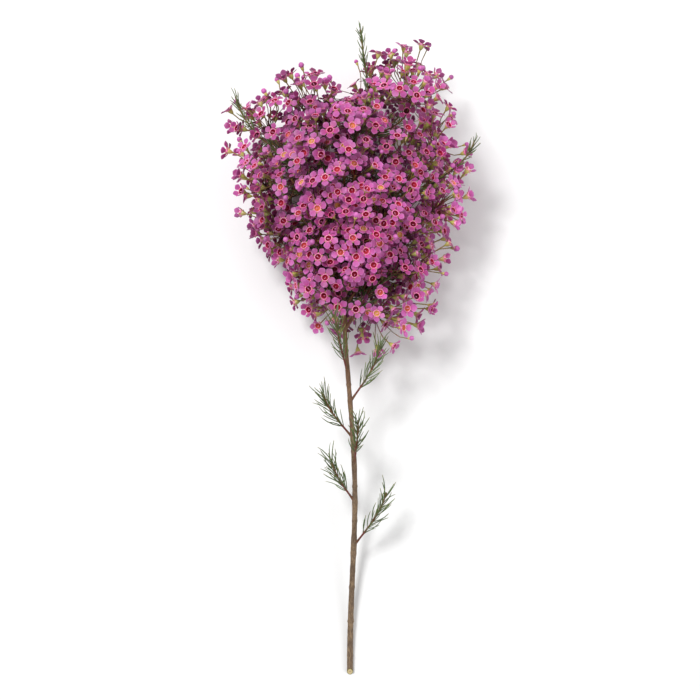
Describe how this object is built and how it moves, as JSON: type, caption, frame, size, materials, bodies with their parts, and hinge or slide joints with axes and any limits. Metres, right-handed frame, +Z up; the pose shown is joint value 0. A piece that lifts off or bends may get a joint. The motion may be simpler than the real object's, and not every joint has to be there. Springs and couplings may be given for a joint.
{
  "type": "waxflower stem",
  "caption": "Cut waxflower stem lying down: a woody stalk with needle-leaved branches that spread into a domed crown of small pink blooms.",
  "frame": {"origin": "centre of the whole part's box on the surface it lies on, z = 0", "axes": "+Y from the cut end to the tip of the crown, +Z up from the surface, +X to the right of the stem"},
  "size_m": [0.2702, 0.6693, 0.1528],
  "materials": {
    "bark": "fibrous grey-brown bark, rough",
    "leaf": "waxy olive green needles, semi-matt",
    "petal": "waxy orchid pink petals, soft sheen"
  },
  "bodies": {
    "root": {"woody_stem": "bark", "leafy_branch_01": "leaf", "leafy_branch_02": "leaf", "leafy_branch_03": "leaf", "leafy_branch_04": "leaf", "leafy_branch_05": "leaf", "leafy_branch_06": "leaf", "leafy_branch_07": "leaf", "leafy_branch_08": "leaf", "leafy_branch_09": "leaf", "leafy_branch_10": "leaf", "leafy_branch_11": "leaf", "leafy_branch_12": "leaf", "leafy_shoot_1": "leaf", "leafy_shoot_2": "leaf", "leafy_shoot_3": "leaf", "leafy_shoot_4": "leaf", "leafy_shoot_5": "leaf", "leafy_shoot_6": "leaf", "bloom_cluster_01": "petal", "bloom_cluster_02": "petal", "bloom_cluster_03": "petal", "bloom_cluster_04": "petal", "bloom_cluster_05": "petal", "bloom_cluster_06": "petal", "bloom_cluster_07": "petal", "bloom_cluster_08": "petal", "bloom_cluster_09": "petal", "bloom_cluster_10": "petal", "bloom_cluster_11": "petal", "bloom_cluster_12": "petal", "bloom_cluster_13": "petal", "bloom_cluster_14": "petal", "bloom_cluster_15": "petal", "bloom_cluster_16": "petal", "bloom_cluster_17": "petal", "bloom_cluster_18": "petal", "bloom_cluster_19": "petal", "bloom_cluster_20": "petal", "bloom_cluster_21": "petal", "bloom_cluster_22": "petal", "bloom_cluster_23": "petal", "bloom_cluster_24": "petal", "bloom_cluster_25": "petal", "bloom_cluster_26": "petal", "bloom_cluster_27": "petal", "bloom_cluster_28": "petal", "bloom_cluster_29": "petal", "bloom_cluster_30": "petal", "bloom_cluster_31": "petal", "bloom_cluster_32": "petal", "bloom_cluster_33": "petal", "bloom_cluster_34": "petal", "bloom_cluster_35": "petal", "bloom_cluster_36": "petal", "bloom_cluster_37": "petal", "bloom_cluster_38": "petal", "bloom_cluster_39": "petal", "bloom_cluster_40": "petal", "bloom_cluster_41": "petal"}
  },
  "joints": []
}
